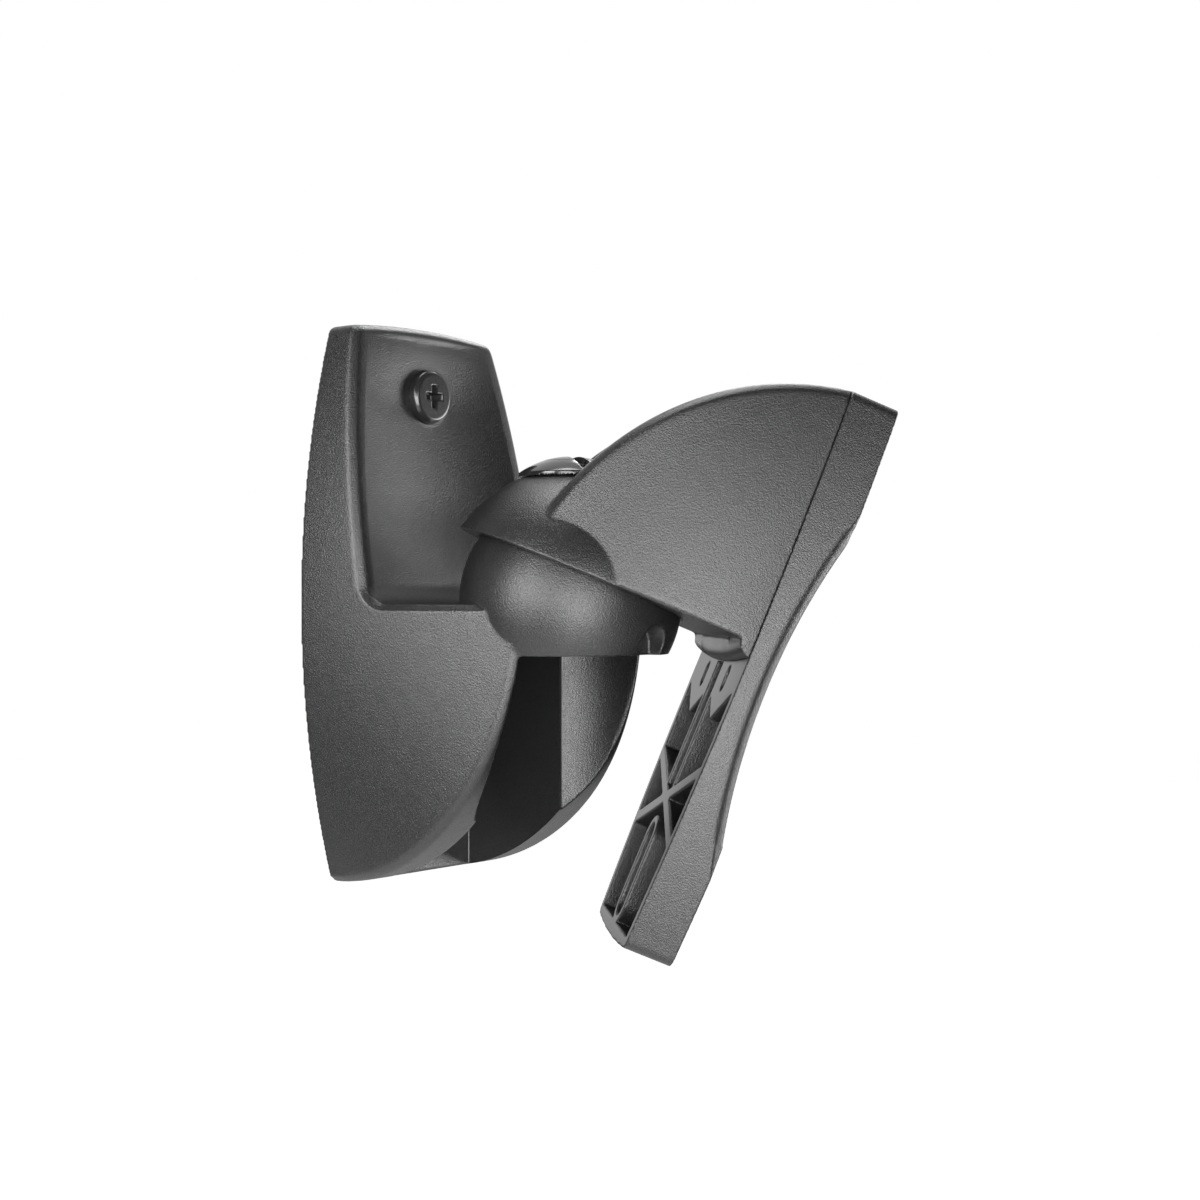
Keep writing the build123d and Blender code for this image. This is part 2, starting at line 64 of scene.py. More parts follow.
# The ball's centre and the speaker side's own directions, from the frame's joints and mounts
tiltJoint = next(joint for joint in frame["joints"] if joint["name"] == "tilt")
speakerFace = next(mount for mount in frame["record"]["mounts"] if mount["name"] == "speaker_face")
ballCentre = Vector(tiltJoint["pos_m"])
upright = Vector((0, 0, 1))
outOfWall = Vector((0, -1, 0))
sideways = Vector(tiltJoint["axis"]).normalized()
forward = Vector(speakerFace["axis"]).normalized()
upward = forward.cross(sideways)
reach = (Vector(speakerFace["pos_m"]) - ballCentre).dot(forward)
speakerOrigin = ballCentre + forward * reach


def pick(obj):
    bpy.ops.object.select_all(action="DESELECT")
    obj.select_set(True)
    bpy.context.view_layer.objects.active = obj


def applied(piece, kind, **values):
    modifier = piece.modifiers.new(kind.lower(), kind)
    for key, value in values.items():
        setattr(modifier, key, value)
    pick(piece)
    bpy.ops.object.modifier_apply(modifier=modifier.name)


# A merged copy of a CAD node
def copyNode(node, name):
    pick(frame["nodes"][node])
    bpy.ops.object.duplicate()
    piece = bpy.context.view_layer.objects.active
    piece.name = name
    del piece["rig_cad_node"]
    bpy.ops.object.mode_set(mode="EDIT")
    bpy.ops.mesh.select_all(action="SELECT")
    bpy.ops.mesh.remove_doubles(threshold=meshSettings["mergeGap"])
    bpy.ops.mesh.normals_make_consistent(inside=False)
    bpy.ops.object.mode_set(mode="OBJECT")
    bpy.ops.mesh.customdata_custom_splitnormals_clear()
    return piece


# Evens the mesh out and takes the sharpness off every edge, as a mould does
def evenOut(piece, settings):
    applied(piece, "REMESH", mode="VOXEL", voxel_size=settings["voxel"])
    applied(piece, "SMOOTH", factor=settings["softness"], iterations=settings["rounds"])


# Vertex places and normals, as arrays
def surface(piece):
    count = len(piece.data.vertices)
    places = np.empty(count * 3)
    normals = np.empty(count * 3)
    piece.data.vertices.foreach_get("co", places)
    piece.data.vertices.foreach_get("normal", normals)
    return places.reshape(-1, 3), normals.reshape(-1, 3)


# The same in the speaker side's own directions: across, up, and back from the speaker's face
def speakerSurface(piece):
    places, normals = surface(piece)
    turn = np.array([sideways, upward, -forward]).T
    return (places - np.array(speakerOrigin)) @ turn, normals @ turn


# Rolls the edges that are chosen: they and a band beside them are smoothed further
def roll(piece, chosen, settings):
    pick(piece)
    bpy.ops.object.mode_set(mode="EDIT")
    bpy.ops.mesh.select_mode(type="VERT")
    bpy.ops.mesh.select_all(action="DESELECT")
    bpy.ops.object.mode_set(mode="OBJECT")
    piece.data.vertices.foreach_set("select", chosen)
    bpy.ops.object.mode_set(mode="EDIT")
    for ring in range(settings["spread"]):
        bpy.ops.mesh.select_more()
    band = piece.vertex_groups.new(name="rolled")
    bpy.ops.object.vertex_group_assign()
    bpy.ops.object.mode_set(mode="OBJECT")
    turns = settings["turns"]
    applied(piece, "SMOOTH", factor=settings["softness"], iterations=turns, vertex_group=band.name)
    piece.vertex_groups.remove(piece.vertex_groups["rolled"])
    print("stage: rolled", piece.name, int(chosen.sum()))


# Thins the mesh, gives it its body, and lets it stand for the CAD node
def settle(piece, node, body, settings):
    applied(piece, "DECIMATE", ratio=min(1.0, settings["faces"] / (2 * len(piece.data.polygons))))
    bpy.ops.object.shade_smooth_by_angle(angle=math.radians(meshSettings["sharpAngle"]))
    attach(piece, body)
    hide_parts(node)
    print("stage:", piece.name, len(piece.data.polygons), "faces")


# Moves the vertices to new places
def moveTo(piece, places):
    piece.data.vertices.foreach_set("co", places.ravel())
    piece.data.update()


# Rises smoothly from 0 at the start to 1 at the end
def ramp(values, start, end):
    share = np.clip((values - start) / (end - start), 0, 1)
    return share * share * (3 - 2 * share)


# Where the mould was polished, kept as a number on each vertex
def polish(piece, chosen):
    layer = piece.data.attributes.new("polish", "FLOAT", "POINT")
    layer.data.foreach_set("value", chosen.astype(float))


# A bar that narrows towards its foot, laid across a head
def slotBar(top, axis, along, settings):
    bpy.ops.mesh.primitive_cube_add(size=1)
    bar = bpy.context.view_layer.objects.active
    for corner in bar.data.vertices:
        low = corner.co.z < 0
        corner.co.x *= settings["length"] * (settings["footLength"] if low else 1)
        corner.co.y *= settings["width"] * (settings["footWidth"] if low else 1)
        corner.co.z *= settings["depth"] * 2
    turn = Matrix((along, axis.cross(along), axis)).transposed().to_4x4()
    bar.matrix_world = Matrix.Translation(top) @ turn
    return bar


# Cuts one slot into a head
def cutSlot(piece, top, axis, along, settings, floorBall=None):
    bar = slotBar(top, axis, along, settings)
    if floorBall:
        applied(bar, "BOOLEAN", object=floorBall, operation="DIFFERENCE", solver="EXACT")
    applied(piece, "BOOLEAN", object=bar, operation="DIFFERENCE", solver="EXACT")
    bpy.data.objects.remove(bar)


# Wall bracket: dish sunk, rim and outer edges rolled, the cable slot's corners sharp and its walls polished
wallSettings = {"voxel": 0.00023, "softness": 0.5, "rounds": 1, "faces": 190000,
                "spread": 7, "turns": 46, "restTurns": 3,
                "ledge": -0.0005, "ledgeRoom": 0.004, "bodyRoom": 0.002, "bodyHalf": 0.0155,
                "frontFrom": 0.005, "inwardSlack": 1e-6,
                "slotHalf": 0.0112, "slotTop": -0.009, "slotSkin": 0.0006,
                "slotEdge": 0.0009, "slotSnap": 0.00045,
                "ballRadius": 0.019, "ballRoom": 0.001, "faceLean": 0.35, "edgeLean": 0.92}
dishSettings = {"press": 0.0014, "halfWidth": 0.025, "halfEnd": 0.01775, "halfHeight": 0.0495,
                "rim": 0.0026, "draft": 0.1, "topGap": 0.0022, "topFade": 0.013,
                "rimTop": 0.0064, "rimLedge": 0.0142, "fade": 0.02, "back": 0.004, "front": 0.003,
                "screwLevel": 0.037, "seat": 0.0052, "seatRise": 0.0022,
                "headHalf": 0.0046, "ringHalf": 0.0056, "ringReach": 0.0066}
wallBracket = copyNode("wall_bracket", "wallBracket")
evenOut(wallBracket, wallSettings)
places, normals = surface(wallBracket)
across = np.abs(places[:, 0])
depth = -places[:, 1]
level = places[:, 2] - wallSettings["ledge"]
rimShare = level / (dishSettings["halfHeight"] - wallSettings["ledge"])
rimDepth = dishSettings["rimLedge"] + rimShare * (dishSettings["rimTop"] - dishSettings["rimLedge"])
endNarrowing = dishSettings["halfWidth"] - dishSettings["halfEnd"]
narrowing = endNarrowing * (places[:, 2] / dishSettings["halfHeight"]) ** 2
dishHalf = dishSettings["halfWidth"] - narrowing - dishSettings["rim"] - rimDepth * dishSettings["draft"]
toTop = dishSettings["halfHeight"] - dishSettings["topGap"] - places[:, 2]
press = np.clip(1 - (across / dishHalf) ** 2, 0, 1) * ramp(toTop, 0, dishSettings["topFade"])
press *= ramp(level, 0, dishSettings["fade"]) * (depth > dishSettings["back"])
press *= 1 - ramp(depth - rimDepth, 0, dishSettings["front"])
fromScrew = np.hypot(places[:, 0], places[:, 2] - dishSettings["screwLevel"])
overSeat = np.clip((depth - dishSettings["seat"]) / dishSettings["seatRise"], 0, 1)
depth -= dishSettings["press"] * press * np.where(fromScrew < dishSettings["ringHalf"], overSeat, 1)
fromHead = np.column_stack((places[:, 0], places[:, 2] - dishSettings["screwLevel"], np.ones(len(places))))
inFront = (depth > dishSettings["seat"]) & (normals[:, 1] < -wallSettings["faceLean"])
around = inFront & (fromScrew > dishSettings["ringHalf"]) & (fromScrew < dishSettings["ringReach"])
dishPlane = np.linalg.lstsq(fromHead[around], depth[around], rcond=None)[0]
ring = (fromScrew > dishSettings["headHalf"]) & (fromScrew < dishSettings["ringHalf"])
ring &= depth > dishSettings["seat"]
depth[ring] = fromHead[ring] @ dishPlane
places[:, 1] = -depth
moveTo(wallBracket, places)  # the dish sinks towards its middle and runs up to the screw's head
onSlotEdge = np.abs(across - wallSettings["slotHalf"]) < wallSettings["slotEdge"]
onSlotEdge &= level < wallSettings["slotTop"]
roll(wallBracket, ~onSlotEdge, dict(wallSettings, spread=0, turns=wallSettings["restTurns"]))
places, normals = surface(wallBracket)
offWall = np.abs(places[:, 0]) - wallSettings["slotHalf"]
onCorner = onSlotEdge & (offWall > 0) & (offWall < wallSettings["slotSnap"])
onCorner &= places[:, 1] < -wallSettings["frontFrom"]
places[onCorner, 0] -= np.sign(places[onCorner, 0]) * offWall[onCorner]
moveTo(wallBracket, places)  # the slot's corners stay sharp
places, normals = surface(wallBracket)
depth = -places[:, 1]
facing = places[:, 0] * normals[:, 0]
leanAcross = np.abs(normals[:, 0])
leanOut = -normals[:, 1]
fromBall = np.linalg.norm(places - np.array(ballCentre), axis=1)
offBall = fromBall > wallSettings["ballRadius"] + wallSettings["ballRoom"]
onRim = offBall & (level > wallSettings["ledgeRoom"]) & (depth > wallSettings["frontFrom"])
onRim &= (leanOut > wallSettings["faceLean"]) & (leanOut < wallSettings["edgeLean"])
onRim &= facing > -wallSettings["inwardSlack"]
onBody = offBall & (level < -wallSettings["bodyRoom"]) & (depth > wallSettings["frontFrom"])
onBody &= (leanAcross > wallSettings["faceLean"]) & (leanAcross < wallSettings["edgeLean"])
onBody &= (across > wallSettings["bodyHalf"]) & (facing > 0)
roll(wallBracket, onRim | onBody, wallSettings)
settle(wallBracket, "wall_bracket", "wall_side", wallSettings)
places, normals = surface(wallBracket)
inSlot = np.abs(np.abs(places[:, 0]) - wallSettings["slotHalf"]) < wallSettings["slotSkin"]
inSlot &= places[:, 0] * normals[:, 0] < -wallSettings["slotHalf"] / 2
inSlot &= (places[:, 1] < -wallSettings["frontFrom"]) & (places[:, 2] < wallSettings["slotTop"])
polish(wallBracket, inSlot)

# Speaker arm: long upper edges rolled, its seam left crisp, the lip under it rounded, nothing polished
armSettings = {"voxel": 0.0002, "softness": 0.5, "rounds": 2, "faces": 170000,
               "spread": 7, "turns": 50, "restTurns": 2,
               "lipTurns": 160, "lipTop": 0.0043, "lipRoom": 0.0004, "lipReach": 0.0045, "lipHalf": 0.0135,
               "seam": 0.0084, "seamRoom": 0.0007, "cheekFrom": 0.0012, "cheekHalf": 0.0150,
               "domeRadius": 0.0226, "domeRoom": 0.0006, "faceLean": 0.35, "edgeLean": 0.92}
speakerArm = copyNode("speaker_arm", "speakerArm")
evenOut(speakerArm, armSettings)
places, normals = speakerSurface(speakerArm)
fromSeam = places[:, 2] - armSettings["seam"]
softly = dict(armSettings, spread=0, turns=armSettings["restTurns"])
roll(speakerArm, fromSeam > armSettings["seamRoom"], softly)
nearLip = places[:, 1] < armSettings["lipTop"] + armSettings["lipRoom"]
nearLip &= (fromSeam > armSettings["seamRoom"]) & (fromSeam < armSettings["lipReach"])
nearLip &= np.abs(places[:, 0]) < armSettings["lipHalf"]
roll(speakerArm, nearLip, dict(armSettings, spread=0, turns=armSettings["lipTurns"]))
fromBall = np.linalg.norm(surface(speakerArm)[0] - np.array(ballCentre), axis=1)
leanAcross = np.abs(normals[:, 0])
onCheek = (leanAcross > armSettings["faceLean"]) & (leanAcross < armSettings["edgeLean"])
onCheek &= (places[:, 0] * normals[:, 0] > 0) & (np.abs(places[:, 0]) > armSettings["cheekHalf"])
onCheek &= (fromBall > armSettings["domeRadius"] + armSettings["domeRoom"])
onCheek &= (places[:, 1] > armSettings["lipTop"]) & (fromSeam > armSettings["cheekFrom"])
roll(speakerArm, onCheek, armSettings)
settle(speakerArm, "speaker_arm", "speaker_side", armSettings)
polish(speakerArm, np.zeros(len(speakerArm.data.vertices)))

# Speaker plate: sides of the scalloped front rolled, its seam left crisp, rib tops polished
plateSettings = {"voxel": 0.00022, "softness": 0.5, "rounds": 2, "faces": 180000,
                 "spread": 8, "turns": 64, "restTurns": 3,
                 "seam": 0.0084, "seamRoom": 0.0007, "scallopHalf": 0.026, "sideHalf": 0.018,
                 "ribSkin": 0.0002, "ribLean": 0.8, "frontLean": 0.3, "faceLean": 0.35, "edgeLean": 0.92}
speakerPlate = copyNode("speaker_plate", "speakerPlate")
evenOut(speakerPlate, plateSettings)
places, normals = speakerSurface(speakerPlate)
softly = dict(plateSettings, spread=0, turns=plateSettings["restTurns"])
roll(speakerPlate, places[:, 2] < plateSettings["seam"] - plateSettings["seamRoom"], softly)
leanAcross = np.abs(normals[:, 0])
onScallop = (leanAcross > plateSettings["faceLean"]) & (leanAcross < plateSettings["edgeLean"])
onScallop &= normals[:, 2] < -plateSettings["frontLean"]
onScallop &= np.abs(places[:, 0]) > plateSettings["sideHalf"]
onScallop &= np.abs(places[:, 1]) < plateSettings["scallopHalf"]
roll(speakerPlate, onScallop, plateSettings)
settle(speakerPlate, "speaker_plate", "speaker_side", plateSettings)
places, normals = speakerSurface(speakerPlate)
onRibs = normals[:, 2] > plateSettings["ribLean"]
onRibs &= places[:, 2] > plateSettings["seam"] - plateSettings["ribSkin"]
polish(speakerPlate, onRibs)
print("stage: mouldings refined")

# Screws: pan heads with a cross recess and a rounded rim
wallScrewSettings = {"voxel": 0.00011, "softness": 0.5, "rounds": 3, "faces": 60000,
                     "spread": 2, "turns": 18, "rim": 0.0034,
                     "length": 0.0060, "width": 0.0015, "depth": 0.0022,
                     "footLength": 0.42, "footWidth": 0.75}
plateScrewSettings = dict(
    wallScrewSettings, voxel=0.00009, length=0.0040, width=0.001, depth=0.0015, rim=0.0024
)


def panScrew(node, name, body, axis, along, settings):
    screw = copyNode(node, name)
    places = surface(screw)[0]
    heights = places @ np.array(axis)
    top = Vector(places[heights > heights.max() - meshSettings["mergeGap"]].mean(axis=0))
    for direction in (along, axis.cross(along)):
        cutSlot(screw, top, axis, direction, settings)
    evenOut(screw, settings)
    places = surface(screw)[0] - np.array(top)
    heights = places @ np.array(axis)
    spread = np.linalg.norm(places - np.outer(heights, np.array(axis)), axis=1)
    roll(screw, (spread > settings["rim"]) & (heights > -settings["depth"]), settings)
    settle(screw, node, body, settings)
    return screw


wallScrewUpper = panScrew(
    "wall_screw_upper", "wallScrewUpper", "wall_side", outOfWall, upright, wallScrewSettings
)
wallScrewLower = panScrew(
    "wall_screw_lower", "wallScrewLower", "wall_side", outOfWall, upright, wallScrewSettings
)
plateScrewLower = panScrew(
    "plate_screw_lower", "plateScrewLower", "speaker_side", -forward, upward, plateScrewSettings
)
plateScrewUpper = panScrew(
    "plate_screw_upper", "plateScrewUpper", "speaker_side", -forward, sideways, plateScrewSettings
)
print("stage: screws")

# Clamp: a wide slot runs over the cap and the screw's head, and its floor follows the dome
capSettings = {"voxel": 0.00012, "softness": 0.5, "rounds": 3, "faces": 90000,
               "length": 0.024, "width": 0.00236, "depth": 0.006, "footLength": 1.0, "footWidth": 0.9,
               "floorRadius": 0.0234, "floorSegments": 128, "floorRings": 96,
               "slotRise": 0.003, "slotTurn": 60.0, "crownTop": 0.0247, "crownRadius": 0.0151}
headSettings = {"headFrom": 0.0236, "neck": 0.0040, "widen": 1.04}
slotTurn = math.radians(capSettings["slotTurn"])
slotWay = Vector((math.cos(slotTurn), math.sin(slotTurn), 0))
bpy.ops.mesh.primitive_uv_sphere_add(
    segments=capSettings["floorSegments"],
    ring_count=capSettings["floorRings"],
    radius=capSettings["floorRadius"],
    location=ballCentre,
)
floorBall = bpy.context.view_layer.objects.active
slotTop = ballCentre + upright * (capSettings["floorRadius"] + capSettings["slotRise"])
saddleCap = copyNode("saddle_cap", "saddleCap")
clampScrew = copyNode("clamp_screw", "clampScrew")
for corner in clampScrew.data.vertices:  # the head nearly fills the hole in the cap
    wide = math.hypot(corner.co.x - ballCentre.x, corner.co.y - ballCentre.y) > headSettings["neck"]
    if wide and corner.co.z - ballCentre.z > headSettings["headFrom"]:
        corner.co.x = ballCentre.x + (corner.co.x - ballCentre.x) * headSettings["widen"]
        corner.co.y = ballCentre.y + (corner.co.y - ballCentre.y) * headSettings["widen"]
for piece in (saddleCap, clampScrew):
    cutSlot(piece, slotTop, upright, slotWay, capSettings, floorBall)
    evenOut(piece, capSettings)
bpy.data.objects.remove(floorBall)
places = surface(clampScrew)[0]
fromCrown = places - np.array(ballCentre + upright * (capSettings["crownTop"] - capSettings["crownRadius"]))
excess = np.linalg.norm(fromCrown, axis=1) / capSettings["crownRadius"]
onHead = (places[:, 2] - ballCentre.z > headSettings["headFrom"]) & (excess > 1)
places[onHead] += fromCrown[onHead] * (1 / excess[onHead] - 1)[:, None]
moveTo(clampScrew, places)  # the head carries the cap's crown on
settle(saddleCap, "saddle_cap", "clamp_cap", capSettings)
settle(clampScrew, "clamp_screw", "wall_side", capSettings)

# Nut: corners turned down as on a bought one
nutSettings = {"voxel": 0.0001, "softness": 0.5, "rounds": 3, "faces": 40000,
               "crown": 0.00478, "crownSegments": 96, "crownRings": 64}
clampNut = copyNode("clamp_nut", "clampNut")
nutPlaces = surface(clampNut)[0]
nutCentre = Vector((nutPlaces.max(axis=0) + nutPlaces.min(axis=0)) / 2)
bpy.ops.mesh.primitive_uv_sphere_add(
    segments=nutSettings["crownSegments"],
    ring_count=nutSettings["crownRings"],
    radius=nutSettings["crown"],
    location=nutCentre,
)
nutCrown = bpy.context.view_layer.objects.active
applied(clampNut, "BOOLEAN", object=nutCrown, operation="INTERSECT", solver="EXACT")
bpy.data.objects.remove(nutCrown)
evenOut(clampNut, nutSettings)
settle(clampNut, "clamp_nut", "wall_side", nutSettings)
print("stage: clamp")


def groupSockets(group, inputs, outputs):
    for label, kind, value in inputs:
        socket = group.interface.new_socket(label, in_out="INPUT", socket_type=kind)
        socket.default_value = value
    for label, kind in outputs:
        group.interface.new_socket(label, in_out="OUTPUT", socket_type=kind)


# Spark-eroded mould grain: rounded pits and bumps under half a millimetre across, none where it was
# polished. Its second output is painted shade: darker in the pits, lighter on the bumps, and kept where it
# was polished
grainSettings = {"size": 4000.0, "fineSize": 8600.0, "fineShare": 0.35,
                 "detail": 1.0, "pitShadeFrom": 0.3, "pitShadeTo": 0.7}
grain = bpy.data.node_groups.new("sparkGrain", "ShaderNodeTree")
groupSockets(
    grain,
    [
        ("Size", "NodeSocketFloat", grainSettings["size"]),
        ("Fine Size", "NodeSocketFloat", grainSettings["fineSize"]),
        ("Polish", "NodeSocketFloat", 0.0),
    ],
    [("Height", "NodeSocketFloat"), ("Pit Shade", "NodeSocketFloat")],
)
gIn = grain.nodes.new("NodeGroupInput")
gOut = grain.nodes.new("NodeGroupOutput")
gPlace = grain.nodes.new("ShaderNodeTexCoord")
gCoarse = grain.nodes.new("ShaderNodeTexNoise")
gFine = grain.nodes.new("ShaderNodeTexNoise")
gMix = grain.nodes.new("ShaderNodeMix")
gRest = grain.nodes.new("ShaderNodeMath")
gHeight = grain.nodes.new("ShaderNodeMath")
# painted shade: the grain's height becomes a colour share, low in the pits
gPitShade = grain.nodes.new("ShaderNodeMapRange")
gCoarse.inputs["Detail"].default_value = grainSettings["detail"]
gFine.inputs["Detail"].default_value = grainSettings["detail"]
gMix.inputs["Factor"].default_value = grainSettings["fineShare"]
gRest.operation = "SUBTRACT"
gRest.inputs[0].default_value = 1.0
gHeight.operation = "MULTIPLY"
gPitShade.inputs["From Min"].default_value = grainSettings["pitShadeFrom"]
gPitShade.inputs["From Max"].default_value = grainSettings["pitShadeTo"]
grain.links.new(gPlace.outputs["Object"], gCoarse.inputs["Vector"])
grain.links.new(gPlace.outputs["Object"], gFine.inputs["Vector"])
grain.links.new(gIn.outputs["Size"], gCoarse.inputs["Scale"])
grain.links.new(gIn.outputs["Fine Size"], gFine.inputs["Scale"])
grain.links.new(gCoarse.outputs["Fac"], gMix.inputs["A"])
grain.links.new(gFine.outputs["Fac"], gMix.inputs["B"])
grain.links.new(gIn.outputs["Polish"], gRest.inputs[1])
grain.links.new(gMix.outputs["Result"], gHeight.inputs[0])
grain.links.new(gRest.outputs["Value"], gHeight.inputs[1])
grain.links.new(gHeight.outputs["Value"], gOut.inputs["Height"])
grain.links.new(gMix.outputs["Result"], gPitShade.inputs["Value"])
grain.links.new(gPitShade.outputs["Result"], gOut.inputs["Pit Shade"])


def newMaterial(name):
    material = bpy.data.materials.new(name)
    material.use_nodes = True
    return material, material.node_tree.nodes["Principled BSDF"]


# Moulded plastic with the grain in its height and another gloss where it was polished. Its near-black colour
# is its own, varied with the grain as painted shade that darkens the pits
plasticSettings = {"pitShade": (0.002, 0.002, 0.0021, 1), "pale": (0.020, 0.020, 0.0205, 1), "rough": 0.28,
                   "polishedRough": 0.3, "bump": 1.0, "bumpReach": 0.0001}
plastic, plasticShader = newMaterial("mouldedPlastic")
pNodes = plastic.node_tree.nodes
pLinks = plastic.node_tree.links
pPolish = pNodes.new("ShaderNodeAttribute")
pPolish.attribute_name = "polish"
pGrain = pNodes.new("ShaderNodeGroup")
pGrain.node_tree = grain
# painted shade: the base colour takes the darker value where the grain is low, in its pits
pPitShade = pNodes.new("ShaderNodeMix")
pPitShade.data_type = "RGBA"
pPitShade.inputs["A"].default_value = plasticSettings["pitShade"]
pPitShade.inputs["B"].default_value = plasticSettings["pale"]
pGloss = pNodes.new("ShaderNodeMapRange")
pGloss.inputs["To Min"].default_value = plasticSettings["rough"]
pGloss.inputs["To Max"].default_value = plasticSettings["polishedRough"]
pBump = pNodes.new("ShaderNodeBump")
pBump.inputs["Strength"].default_value = plasticSettings["bump"]
pBump.inputs["Distance"].default_value = plasticSettings["bumpReach"]
pLinks.new(pPolish.outputs["Fac"], pGrain.inputs["Polish"])
pLinks.new(pPolish.outputs["Fac"], pGloss.inputs["Value"])
pLinks.new(pGloss.outputs["Result"], plasticShader.inputs["Roughness"])
pLinks.new(pGrain.outputs["Pit Shade"], pPitShade.inputs["Factor"])
pLinks.new(pPitShade.outputs["Result"], plasticShader.inputs["Base Color"])
pLinks.new(pGrain.outputs["Height"], pBump.inputs["Height"])
pLinks.new(pBump.outputs["Normal"], plasticShader.inputs["Normal"])


# A smooth finish with faint unevenness in its gloss
def smoothFinish(name, settings):
    material, shader = newMaterial(name)
    nodes = material.node_tree.nodes
    links = material.node_tree.links
    place = nodes.new("ShaderNodeTexCoord")
    cloud = nodes.new("ShaderNodeTexNoise")
    gloss = nodes.new("ShaderNodeMapRange")
    cloud.inputs["Scale"].default_value = settings["size"]
    gloss.inputs["To Min"].default_value = settings["rough"] - settings["spread"]
    gloss.inputs["To Max"].default_value = settings["rough"] + settings["spread"]
    links.new(place.outputs["Object"], cloud.inputs["Vector"])
    links.new(cloud.outputs["Fac"], gloss.inputs["Value"])
    links.new(gloss.outputs["Result"], shader.inputs["Roughness"])
    shader.inputs["Base Color"].default_value = settings["colour"]
    shader.inputs["Metallic"].default_value = settings["metal"]
    return material


capFinish = smoothFinish(
    "smoothPlastic",
    {"colour": (0.010, 0.010, 0.0103, 1), "rough": 0.14, "spread": 0.03, "size": 900.0, "metal": 0.0},
)
coatedScrew = smoothFinish(
    "coatedScrew",
    {"colour": (0.014, 0.014, 0.0144, 1), "rough": 0.2, "spread": 0.03, "size": 900.0, "metal": 0.0},
)
zincSteel = smoothFinish(
    "zincSteel",
    {"colour": (0.55, 0.55, 0.56, 1), "rough": 0.34, "spread": 0.08, "size": 2200.0, "metal": 1.0},
)


def paint(obj, material):
    obj.data.materials.clear()
    obj.data.materials.append(material)


for moulded in (wallBracket, speakerArm, speakerPlate):
    paint(moulded, plastic)
paint(saddleCap, capFinish)
for screw in (clampScrew, wallScrewUpper, wallScrewLower, plateScrewLower, plateScrewUpper):
    paint(screw, coatedScrew)
paint(clampNut, zincSteel)
print("stage: materials")

# Camera level with the ball, at the photograph's angle
cameraSettings = {"place": (-0.2546, -0.2453, 0.0002), "turn": (90, 0, -52), "lens": 57.4,
                  "sensor": 36, "clipStart": 0.01}
camData = bpy.data.cameras.new("photoCamera")
camData.lens = cameraSettings["lens"]
camData.sensor_width = cameraSettings["sensor"]
camData.clip_start = cameraSettings["clipStart"]
camera = bpy.data.objects.new("photoCamera", camData)
camera.location = cameraSettings["place"]
camera.rotation_euler = [math.radians(angle) for angle in cameraSettings["turn"]]
scene.collection.objects.link(camera)
scene.camera = camera

# Round soft lights, each set by its angle to the camera's right and above it
lightSettings = {"aim": (0.012, -0.045, 0.0), "distance": 0.6, "size": 0.32}
lightAim = Vector(lightSettings["aim"])
viewTurn = math.radians(cameraSettings["turn"][2])
towardsCamera = Vector((math.sin(viewTurn), -math.cos(viewTurn), 0))
cameraRight = upright.cross(towardsCamera)


def softLight(name, right, above, power, size=lightSettings["size"]):
    turn = math.radians(right)
    rise = math.radians(above)
    flat = towardsCamera * math.cos(turn) + cameraRight * math.sin(turn)
    way = flat * math.cos(rise) + upright * math.sin(rise)
    data = bpy.data.lights.new(name, "AREA")
    data.shape = "DISK"
    data.size = size
    data.energy = power
    lamp = bpy.data.objects.new(name, data)
    lamp.location = lightAim + way * lightSettings["distance"]
    lamp.rotation_euler = (-way).to_track_quat("-Z", "Y").to_euler()
    scene.collection.objects.link(lamp)


softLight("lowFrontLight", right=10, above=-10, power=3.0)
softLight("frontLight", right=-10, above=5, power=2.4)
softLight("frontRightLight", right=25, above=5, power=1.3)
softLight("leftLight", right=-48, above=5, power=2.6)
softLight("leftHighLight", right=-47, above=20, power=1.9)
softLight("rightLight", right=114, above=-6, power=2.6)
softLight("topLight", right=-150, above=80, power=1.9)
softLight("backLight", right=168, above=42, power=0.7, size=0.2)

# Pale floor that keeps a soft shadow below the object and is white further out
floorSettings = {"level": -0.32, "size": 6, "colour": (0.9, 0.9, 0.9, 1), "rough": 0.9,
                 "near": 0.15, "far": 0.45, "least": 0.6}
bpy.ops.mesh.primitive_plane_add(size=floorSettings["size"], location=(0, 0, floorSettings["level"]))
floor = bpy.context.view_layer.objects.active
floor.name = "floor"
bpy.ops.object.transform_apply(location=True)
floorMaterial, floorShader = newMaterial("paleFloor")
fNodes = floorMaterial.node_tree.nodes
fLinks = floorMaterial.node_tree.links
floorShader.inputs["Base Color"].default_value = floorSettings["colour"]
floorShader.inputs["Roughness"].default_value = floorSettings["rough"]
floorShader.inputs["Emission Color"].default_value = white
fPlace = fNodes.new("ShaderNodeTexCoord")
fSpread = fNodes.new("ShaderNodeVectorMath")
fSpread.operation = "DISTANCE"
fSpread.inputs[1].default_value = (lightAim.x, lightAim.y, floorSettings["level"])
fGlow = fNodes.new("ShaderNodeMapRange")
fGlow.interpolation_type = "SMOOTHSTEP"
fGlow.inputs["From Min"].default_value = floorSettings["near"]
fGlow.inputs["From Max"].default_value = floorSettings["far"]
fGlow.inputs["To Min"].default_value = floorSettings["least"]
fPath = fNodes.new("ShaderNodeLightPath")
fSeen = fNodes.new("ShaderNodeMath")
fSeen.operation = "MULTIPLY"
fLinks.new(fPlace.outputs["Object"], fSpread.inputs[0])
fLinks.new(fSpread.outputs["Value"], fGlow.inputs["Value"])
fLinks.new(fGlow.outputs["Result"], fSeen.inputs[0])
fLinks.new(fPath.outputs["Is Camera Ray"], fSeen.inputs[1])
fLinks.new(fSeen.outputs["Value"], floorShader.inputs["Emission Strength"])
paint(floor, floorMaterial)

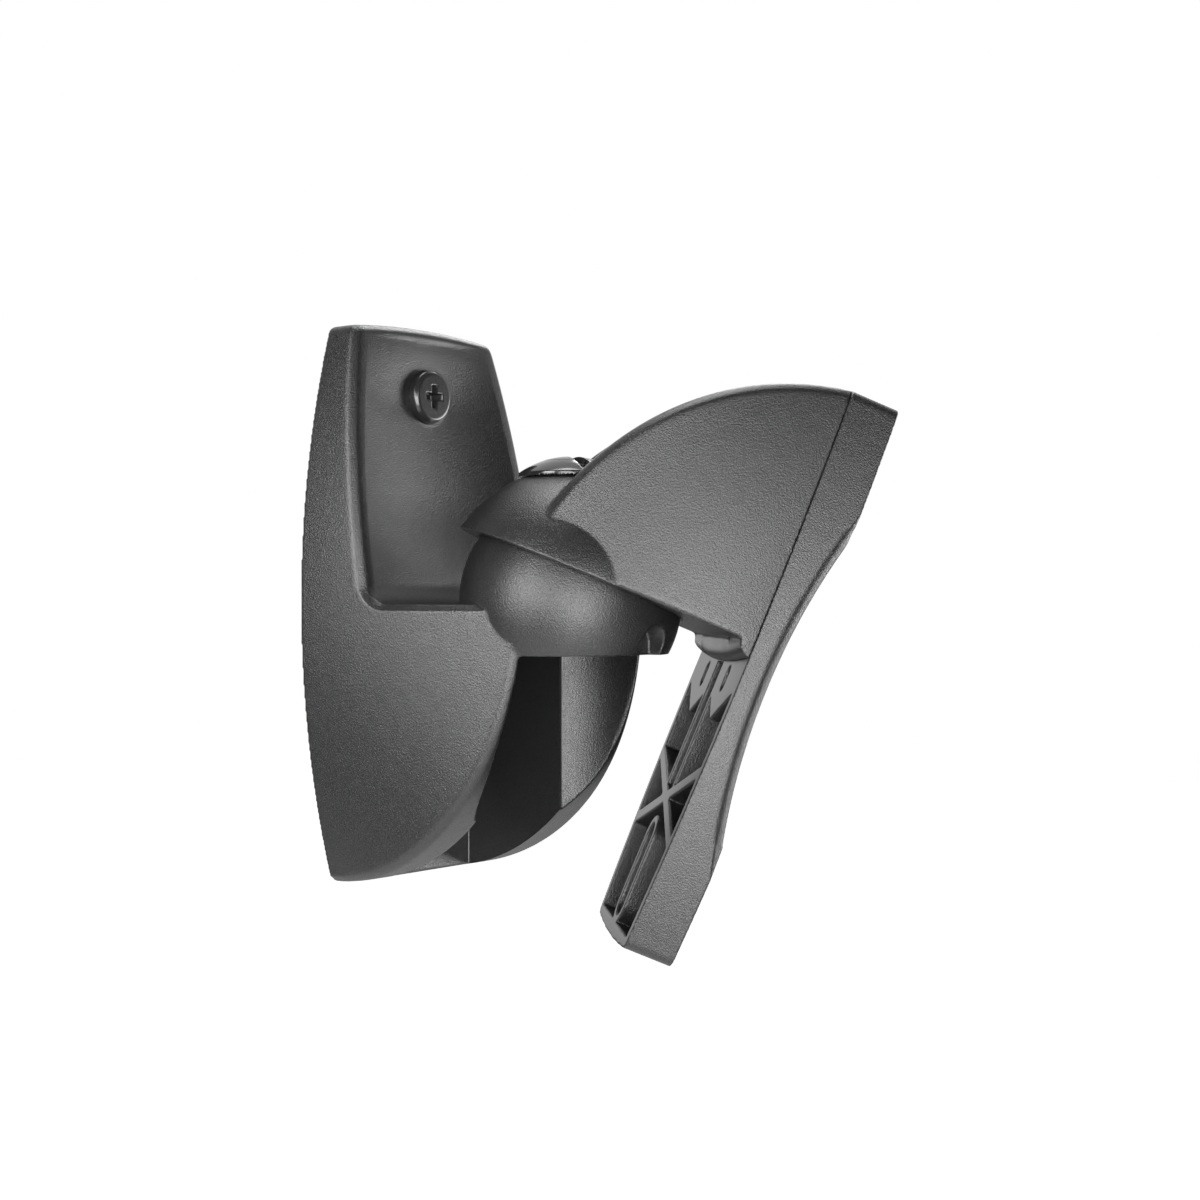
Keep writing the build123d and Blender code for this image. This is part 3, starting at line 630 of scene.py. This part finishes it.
# White to the camera all round, and a white sweep behind the object for what mirrors it
worldSettings = {"dim": 0.02, "white": 1.0, "sweepFrom": 0.1, "sweepTo": 0.5}
world = bpy.data.worlds.new("studio")
scene.world = world
world.use_nodes = True
wNodes = world.node_tree.nodes
wLinks = world.node_tree.links
dim = wNodes["Background"]
dim.inputs["Color"].default_value = white
dim.inputs["Strength"].default_value = worldSettings["dim"]
bright = wNodes.new("ShaderNodeBackground")
bright.inputs["Color"].default_value = white
bright.inputs["Strength"].default_value = worldSettings["white"]
wWay = wNodes.new("ShaderNodeTexCoord")
wBehind = wNodes.new("ShaderNodeVectorMath")
wBehind.operation = "DOT_PRODUCT"
wBehind.inputs[1].default_value = -towardsCamera
wSweep = wNodes.new("ShaderNodeMapRange")
wSweep.interpolation_type = "SMOOTHSTEP"
wSweep.inputs["From Min"].default_value = worldSettings["sweepFrom"]
wSweep.inputs["From Max"].default_value = worldSettings["sweepTo"]
wPath = wNodes.new("ShaderNodeLightPath")
wMirror = wNodes.new("ShaderNodeMath")
wMirror.operation = "MAXIMUM"
wPart = wNodes.new("ShaderNodeMath")
wPart.operation = "MULTIPLY"
wSeen = wNodes.new("ShaderNodeMath")
wSeen.operation = "MAXIMUM"
wSwap = wNodes.new("ShaderNodeMixShader")
wLinks.new(wWay.outputs["Generated"], wBehind.inputs[0])
wLinks.new(wBehind.outputs["Value"], wSweep.inputs["Value"])
wLinks.new(wPath.outputs["Is Glossy Ray"], wMirror.inputs[0])
wLinks.new(wPath.outputs["Is Transmission Ray"], wMirror.inputs[1])
wLinks.new(wMirror.outputs["Value"], wPart.inputs[0])
wLinks.new(wSweep.outputs["Result"], wPart.inputs[1])
wLinks.new(wPart.outputs["Value"], wSeen.inputs[0])
wLinks.new(wPath.outputs["Is Camera Ray"], wSeen.inputs[1])
wLinks.new(wSeen.outputs["Value"], wSwap.inputs["Fac"])
wLinks.new(dim.outputs["Background"], wSwap.inputs[1])
wLinks.new(bright.outputs["Background"], wSwap.inputs[2])
wLinks.new(wSwap.outputs["Shader"], wNodes["World Output"].inputs["Surface"])
scene.view_settings.view_transform = "Standard"
print("stage: camera and light")
